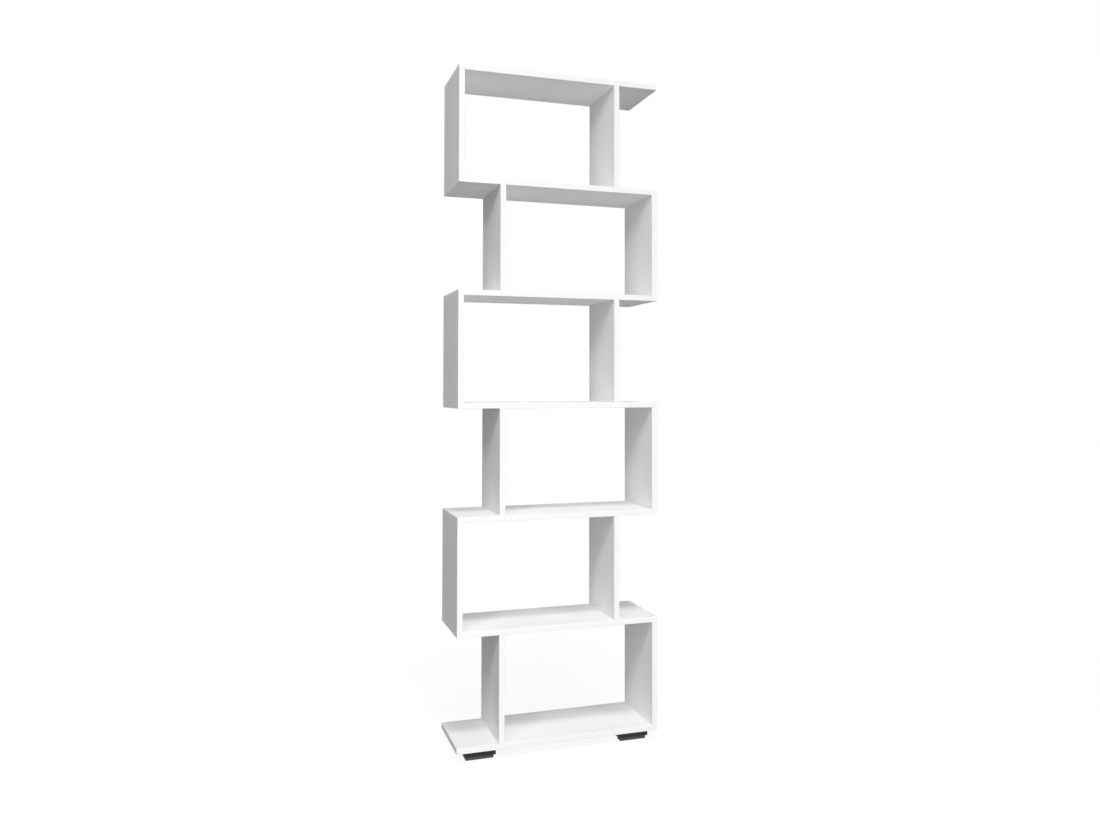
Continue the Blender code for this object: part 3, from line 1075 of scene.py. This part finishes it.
def connectorTool():
    tool = Tool("connectorScrew", connectorShape)
    top = tool.value("Head Sink") * -1
    headRadius = tool.value("Head Diameter") / 2
    shankRadius = tool.value("Shank Diameter") / 2
    coreRadius = tool.value("Core Diameter") / 2
    rimEnd = top - tool.value("Head Rim")
    shankEnd = tool.value("Shank End") * -1
    end = top - tool.value("Length")
    tipStart = end + tool.value("Tip")
    body = tool.turned([
        (top, headRadius * (1 - connectorEase)),
        (top - headRadius * connectorEase, headRadius),
        (rimEnd, headRadius),
        (rimEnd - tool.value("Head Cone"), shankRadius),
        (shankEnd, shankRadius),
        (shankEnd - (shankRadius - coreRadius), coreRadius),
        (tipStart, coreRadius),
        (end, coreRadius * connectorTip),
    ], tool.circle(tool.value("Facets")))
    socket = tool.hexagon(tool.value("Socket Width"), tool.value("Socket Depth") * 2, top)
    pitch = tool.value("Thread Pitch")
    ridge = tool.thread(coreRadius, tool.value("Thread Diameter") / 2, pitch,
                        tipStart, shankEnd - pitch, tool.value("Thread Steps"))
    tool.close(tool.placed(tool.joined([tool.cut(body, socket), ridge])))
    return tool


capShape = {
    "Disc Diameter": 0.0104,
    "Disc Thickness": 0.00045,
    "Edge Round": 0.00015,
    "Peg Width": 0.0038,
    "Peg Length": 0.0026,
    "Facets": 48,
    "Seed": 5,
}
capEase = 0.3  # where the rounded edge has its middle ring
capDepth = 0.00003  # how far a cap lies under the board's face


def capTool():
    tool = Tool("screwCap", capShape)
    radius = tool.value("Disc Diameter") / 2
    edge = tool.value("Edge Round")
    thickness = tool.value("Disc Thickness")
    ease = edge * capEase
    disc = tool.turned([
        (0.0, radius - edge),
        (ease * -1, radius - ease),
        (edge * -1, radius),
        (thickness * -1, radius),
    ], tool.circle(tool.value("Facets")))
    pegLength = tool.value("Peg Length")
    peg = tool.hexagon(tool.value("Peg Width"), pegLength, (thickness + pegLength / 2) * -1)
    tool.close(tool.placed(tool.joined([disc, peg])))
    return tool


dowelShape = {
    "Diameter": 0.008,
    "Length": 0.030,
    "Chamfer": 0.001,
    "Flute Depth": 0.0002,
    "Flutes": 24,
    "Seed": 7,
}
dowelReach = 0.0103  # how far a dowel stands out of the upright's end


def dowelTool():
    tool = Tool("flutedDowel", dowelShape)
    radius = tool.value("Diameter") / 2
    chamfer = tool.value("Chamfer")
    length = tool.value("Length")
    ring = tool.circle(tool.value("Flutes") * 2)
    valley = (tool.index() % 2) * tool.value("Flute Depth") / radius
    narrowed = tool.node("ShaderNodeVectorMath", {"operation": "SCALE"}, {
        "Vector": tool.node("GeometryNodeInputPosition"),
        "Scale": 1 - valley,
    })
    fluted = tool.node("GeometryNodeSetPosition", None, {"Geometry": ring, "Position": narrowed})
    body = tool.turned([
        (0.0, radius - chamfer),
        (chamfer * -1, radius),
        (chamfer - length, radius),
        (length * -1, radius - chamfer),
    ], fluted)
    tool.close(tool.placed(body))
    return tool


def dowelPlaces():
    places = []
    for name in uprightNames:
        spot = middleOf(name)
        for row in dowelRows:
            reach = bayHeight / 2 + dowelReach
            places.append(((spot.x, row, spot.z + reach), (0.0, 0.0, 0.0)))
            places.append(((spot.x, row, spot.z - reach), (math.pi, 0.0, 0.0)))
    return places


footScrewShape = {
    "Head Diameter": 0.008,
    "Head Height": 0.0022,
    "Core Diameter": 0.0026,
    "Thread Diameter": 0.0035,
    "Thread Pitch": 0.0014,
    "Thread Steps": 16,
    "Length": 0.0140,
    "Tip": 0.003,
    "Recess Width": 0.0009,
    "Recess Length": 0.0042,
    "Recess Depth": 0.0014,
    "Facets": 28,
    "Seed": 11,
}
footScrewDome = [  # shares of the head's height and radius
    (1.0, 0.55),
    (0.93, 0.76),
    (0.75, 0.91),
    (0.5, 0.985),
    (0.25, 1.0),
    (0.0, 1.0),
]
footScrewStep = 0.01  # the neck under the head, in head heights
footScrewTip = 0.12  # the blunt end's share of the core's radius


def footScrewTool():  # under its head at z = 0, with the head up
    tool = Tool("footScrew", footScrewShape)
    headRadius = tool.value("Head Diameter") / 2
    headHeight = tool.value("Head Height")
    coreRadius = tool.value("Core Diameter") / 2
    end = tool.value("Length") * -1
    tipStart = end + tool.value("Tip")
    dome = [(headHeight * up, headRadius * out) for up, out in footScrewDome]
    body = tool.turned(dome + [
        (headHeight * -footScrewStep, coreRadius),
        (tipStart, coreRadius),
        (end, coreRadius * footScrewTip),
    ], tool.circle(tool.value("Facets")))
    depth = tool.value("Recess Depth") * 2
    width = tool.value("Recess Width")
    length = tool.value("Recess Length")
    bars = []
    for x, y in ((length, width), (width, length)):
        bar = tool.node("GeometryNodeMeshCube", None, {"Size": tool.vector(x, y, depth)})
        bars.append(tool.moved(bar, tool.vector(z=headHeight)))
    headed = tool.cut(tool.cut(body, bars[0]), bars[1])
    pitch = tool.value("Thread Pitch")
    ridge = tool.thread(coreRadius, tool.value("Thread Diameter") / 2, pitch,
                        tipStart, pitch * -2, tool.value("Thread Steps"))
    tool.close(tool.placed(tool.joined([headed, ridge])))
    return tool


def footScrewPlaces():
    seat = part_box(footNames[0])[1].z - footShape["flange"]
    spots = [middleOf(name) for name in footScrewNames]
    return [((spot.x, spot.y, seat), (math.pi, 0.0, 0.0)) for spot in spots]


def makeFasteners(name, tool, shape, places, finish, nodes=()):
    mesh = tool.made(name, {**shape, "Finish": finish}, pointsAt(name + "_points", places))
    makePiece(smoothed(mesh, fastenerSharpAngle), name, [finish], nodes)


makeFasteners("connector_screws", connectorTool(), connectorShape, jointPlaces(), steel,
              connectorNames)
makeFasteners("screw_caps", capTool(), capShape, jointPlaces(capDepth), whiteCap)
makeFasteners("dowels", dowelTool(), dowelShape, dowelPlaces(), beech)
makeFasteners("foot_wood_screws", footScrewTool(), footScrewShape, footScrewPlaces(), steel,
              footScrewNames)
print("stage: screws, caps and dowels made")


# Floor, background and light

studio = {
    "floorReach": 8.0,
    "floorAlbedo": 0.20,  # what the floor returns to the object
    "floorMottle": 0.01,
    "floorDust": (30.0, 3.0, 0.6),
    "floorShown": 0.10,  # colour of the seen floor, which takes the object's shadow
    "floorGlow": 0.925,  # brings the seen floor up to white
    "fadeStart": 1.2,  # metres from the bookcase, past which the floor is plain white
    "fadeEnd": 2.4,
    "skyLevel": 0.17,  # what the background lends the object; it is seen as 1
}
plainWhite = (1.0, 1.0, 1.0, 1.0)


def grey(level):
    return (level, level, level)


def seenRays(graph):  # rays that show the background itself
    camera = graph.node("ShaderNodeLightPath", output="Is Camera Ray")
    glossy = graph.node("ShaderNodeLightPath", output="Is Glossy Ray")
    through = graph.node("ShaderNodeLightPath", output="Is Transmission Ray")
    return camera.most(glossy).most(through)


def paleFloor():
    finish = Finish("paleFloor")
    dust = finish.noise(*studio["floorDust"])
    darkest = studio["floorAlbedo"] - studio["floorMottle"]
    palest = studio["floorAlbedo"] + studio["floorMottle"]
    hidden = finish.node("ShaderNodeBsdfDiffuse", None, {
        "Color": finish.between(dust, grey(darkest), grey(palest)),
    })
    shade = finish.node("ShaderNodeBsdfDiffuse", None, {
        "Color": (*grey(studio["floorShown"]), 1.0),
    })
    glow = finish.node("ShaderNodeEmission", None,
                       {"Color": plainWhite, "Strength": studio["floorGlow"]})
    white = finish.node("ShaderNodeEmission", None, {"Color": plainWhite, "Strength": 1.0})
    near = finish.node("ShaderNodeAddShader", None, {0: shade, 1: glow})
    distance = finish.node("ShaderNodeVectorMath", {"operation": "LENGTH"}, {0: finish.place},
                           output="Value")
    fadeLength = studio["fadeEnd"] - studio["fadeStart"]
    fade = ((distance - studio["fadeStart"]) / fadeLength).most(0.0).least(1.0)
    shown = finish.node("ShaderNodeMixShader", None, {0: fade, 1: near, 2: white})
    floor = finish.node("ShaderNodeMixShader", None, {0: seenRays(finish), 1: hidden, 2: shown})
    return finish.closeShader(floor)


def makeFloor():
    reach = studio["floorReach"]
    mesh = bpy.data.meshes.new("floor")
    corners = [(-reach, -reach, 0), (reach, -reach, 0), (reach, reach, 0), (-reach, reach, 0)]
    mesh.from_pydata(corners, [], [(0, 1, 2, 3)])
    mesh.materials.append(paleFloor())
    looseObject(mesh)


def makeSky():
    world = bpy.data.worlds.new("studioSky")
    world.use_nodes = True
    sky = Graph(world.node_tree)
    sky.tree.nodes.clear()
    level = studio["skyLevel"]
    strength = level + seenRays(sky) * (1 - level)
    light = sky.node("ShaderNodeBackground", None, {"Color": plainWhite, "Strength": strength})
    sky.node("ShaderNodeOutputWorld", None, {"Surface": light})
    bpy.context.scene.world = world


# Azimuths turn from the front towards the right-hand side, in degrees.
suns = {
    "leftKey": {"azimuth": -38.1, "elevation": 22.4, "spread": 47.2, "strength": 0.505},
    "rightFill": {"azimuth": 34.2, "elevation": 34.7, "spread": 10.0, "strength": 0.427},
    "topLight": {"azimuth": -1.5, "elevation": 64.4, "spread": 10.0, "strength": 0.954},
    "highKey": {"azimuth": -10.5, "elevation": 49.8, "spread": 16.2, "strength": 0.710},
    "backLight": {"azimuth": 140.8, "elevation": 3.0, "spread": 10.0, "strength": 1.060},
}

softBoxes = {
    "lowBox": {"place": (-0.31, -2.97, 0.30), "size": 0.47, "power": 24.1},
    "highBox": {"place": (-1.69, -2.09, 2.66), "size": 0.60, "power": 20.7},
}


def aimed(obj, direction):  # turns a lamp so that it shines along the direction
    obj.rotation_euler = Vector(direction).to_track_quat("-Z", "Y").to_euler()


def makeLamps():
    for name, sun in suns.items():
        data = bpy.data.lights.new(name, "SUN")
        data.energy = sun["strength"]
        data.angle = math.radians(sun["spread"])
        around = math.radians(sun["azimuth"])
        up = math.radians(sun["elevation"])
        level = math.cos(up)
        direction = (-math.sin(around) * level, math.cos(around) * level, -math.sin(up))
        aimed(looseObject(data), direction)
    middle = (cadLow + cadHigh) / 2
    for name, box in softBoxes.items():
        data = bpy.data.lights.new(name, "AREA")
        data.shape = "SQUARE"
        data.size = box["size"]
        data.energy = box["power"]
        lamp = looseObject(data)
        lamp.location = box["place"]
        aimed(lamp, middle - Vector(box["place"]))


makeFloor()
makeSky()
makeLamps()
print("stage: floor, background and lamps made")


# Camera

cameraSetup = {
    "place": (-0.8297, -2.9392, 1.0436),
    "heading": 20.2614,  # degrees to the right of straight ahead
    "pitch": 1.4955,
    "roll": -0.0100,
    "lens": 33.0425,
    "sensor": 36.0,
    "shift": (-0.0719814, -0.0449950),
}


def makeCamera():
    setup = cameraSetup
    data = bpy.data.cameras.new("photoCamera")
    data.lens = setup["lens"]
    data.sensor_width = setup["sensor"]
    data.shift_x, data.shift_y = setup["shift"]
    camera = looseObject(data)
    camera.matrix_world = (shift(*setup["place"]) @ turn(-setup["heading"], "Z")
                           @ turn(90 + setup["pitch"], "X") @ turn(setup["roll"], "Z"))
    bpy.context.scene.camera = camera


makeCamera()
bpy.context.scene.view_settings.view_transform = "Standard"
